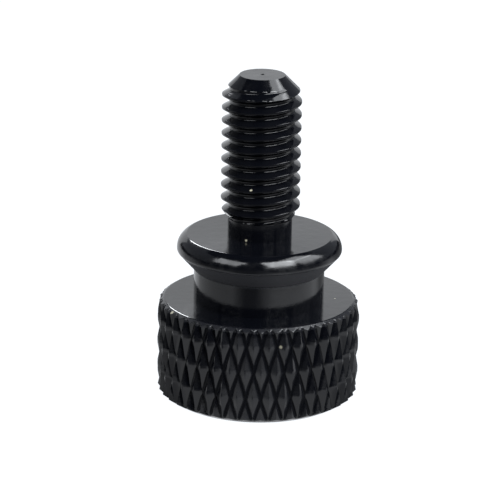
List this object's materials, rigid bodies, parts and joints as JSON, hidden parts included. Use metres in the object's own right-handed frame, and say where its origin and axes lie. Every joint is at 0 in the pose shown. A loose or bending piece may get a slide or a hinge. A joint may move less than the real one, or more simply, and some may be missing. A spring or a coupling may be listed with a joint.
{
  "type": "thumb screw",
  "caption": "Captive thumb screw with a diamond-knurled head, a necked collar, a plain shank and a right-hand metric thread, anodised black.",
  "frame": {"origin": "centre of the head's flat end face, on which the screw stands", "axes": "+Z along the screw's axis, from the head's end face to the threaded tip; +X to the right and -Y towards the viewer in the picture"},
  "size_m": [0.0078, 0.0078, 0.0126],
  "materials": {
    "black_anodised": "satin"
  },
  "bodies": {
    "root": {"thumb_screw": "black_anodised"}
  },
  "joints": []
}
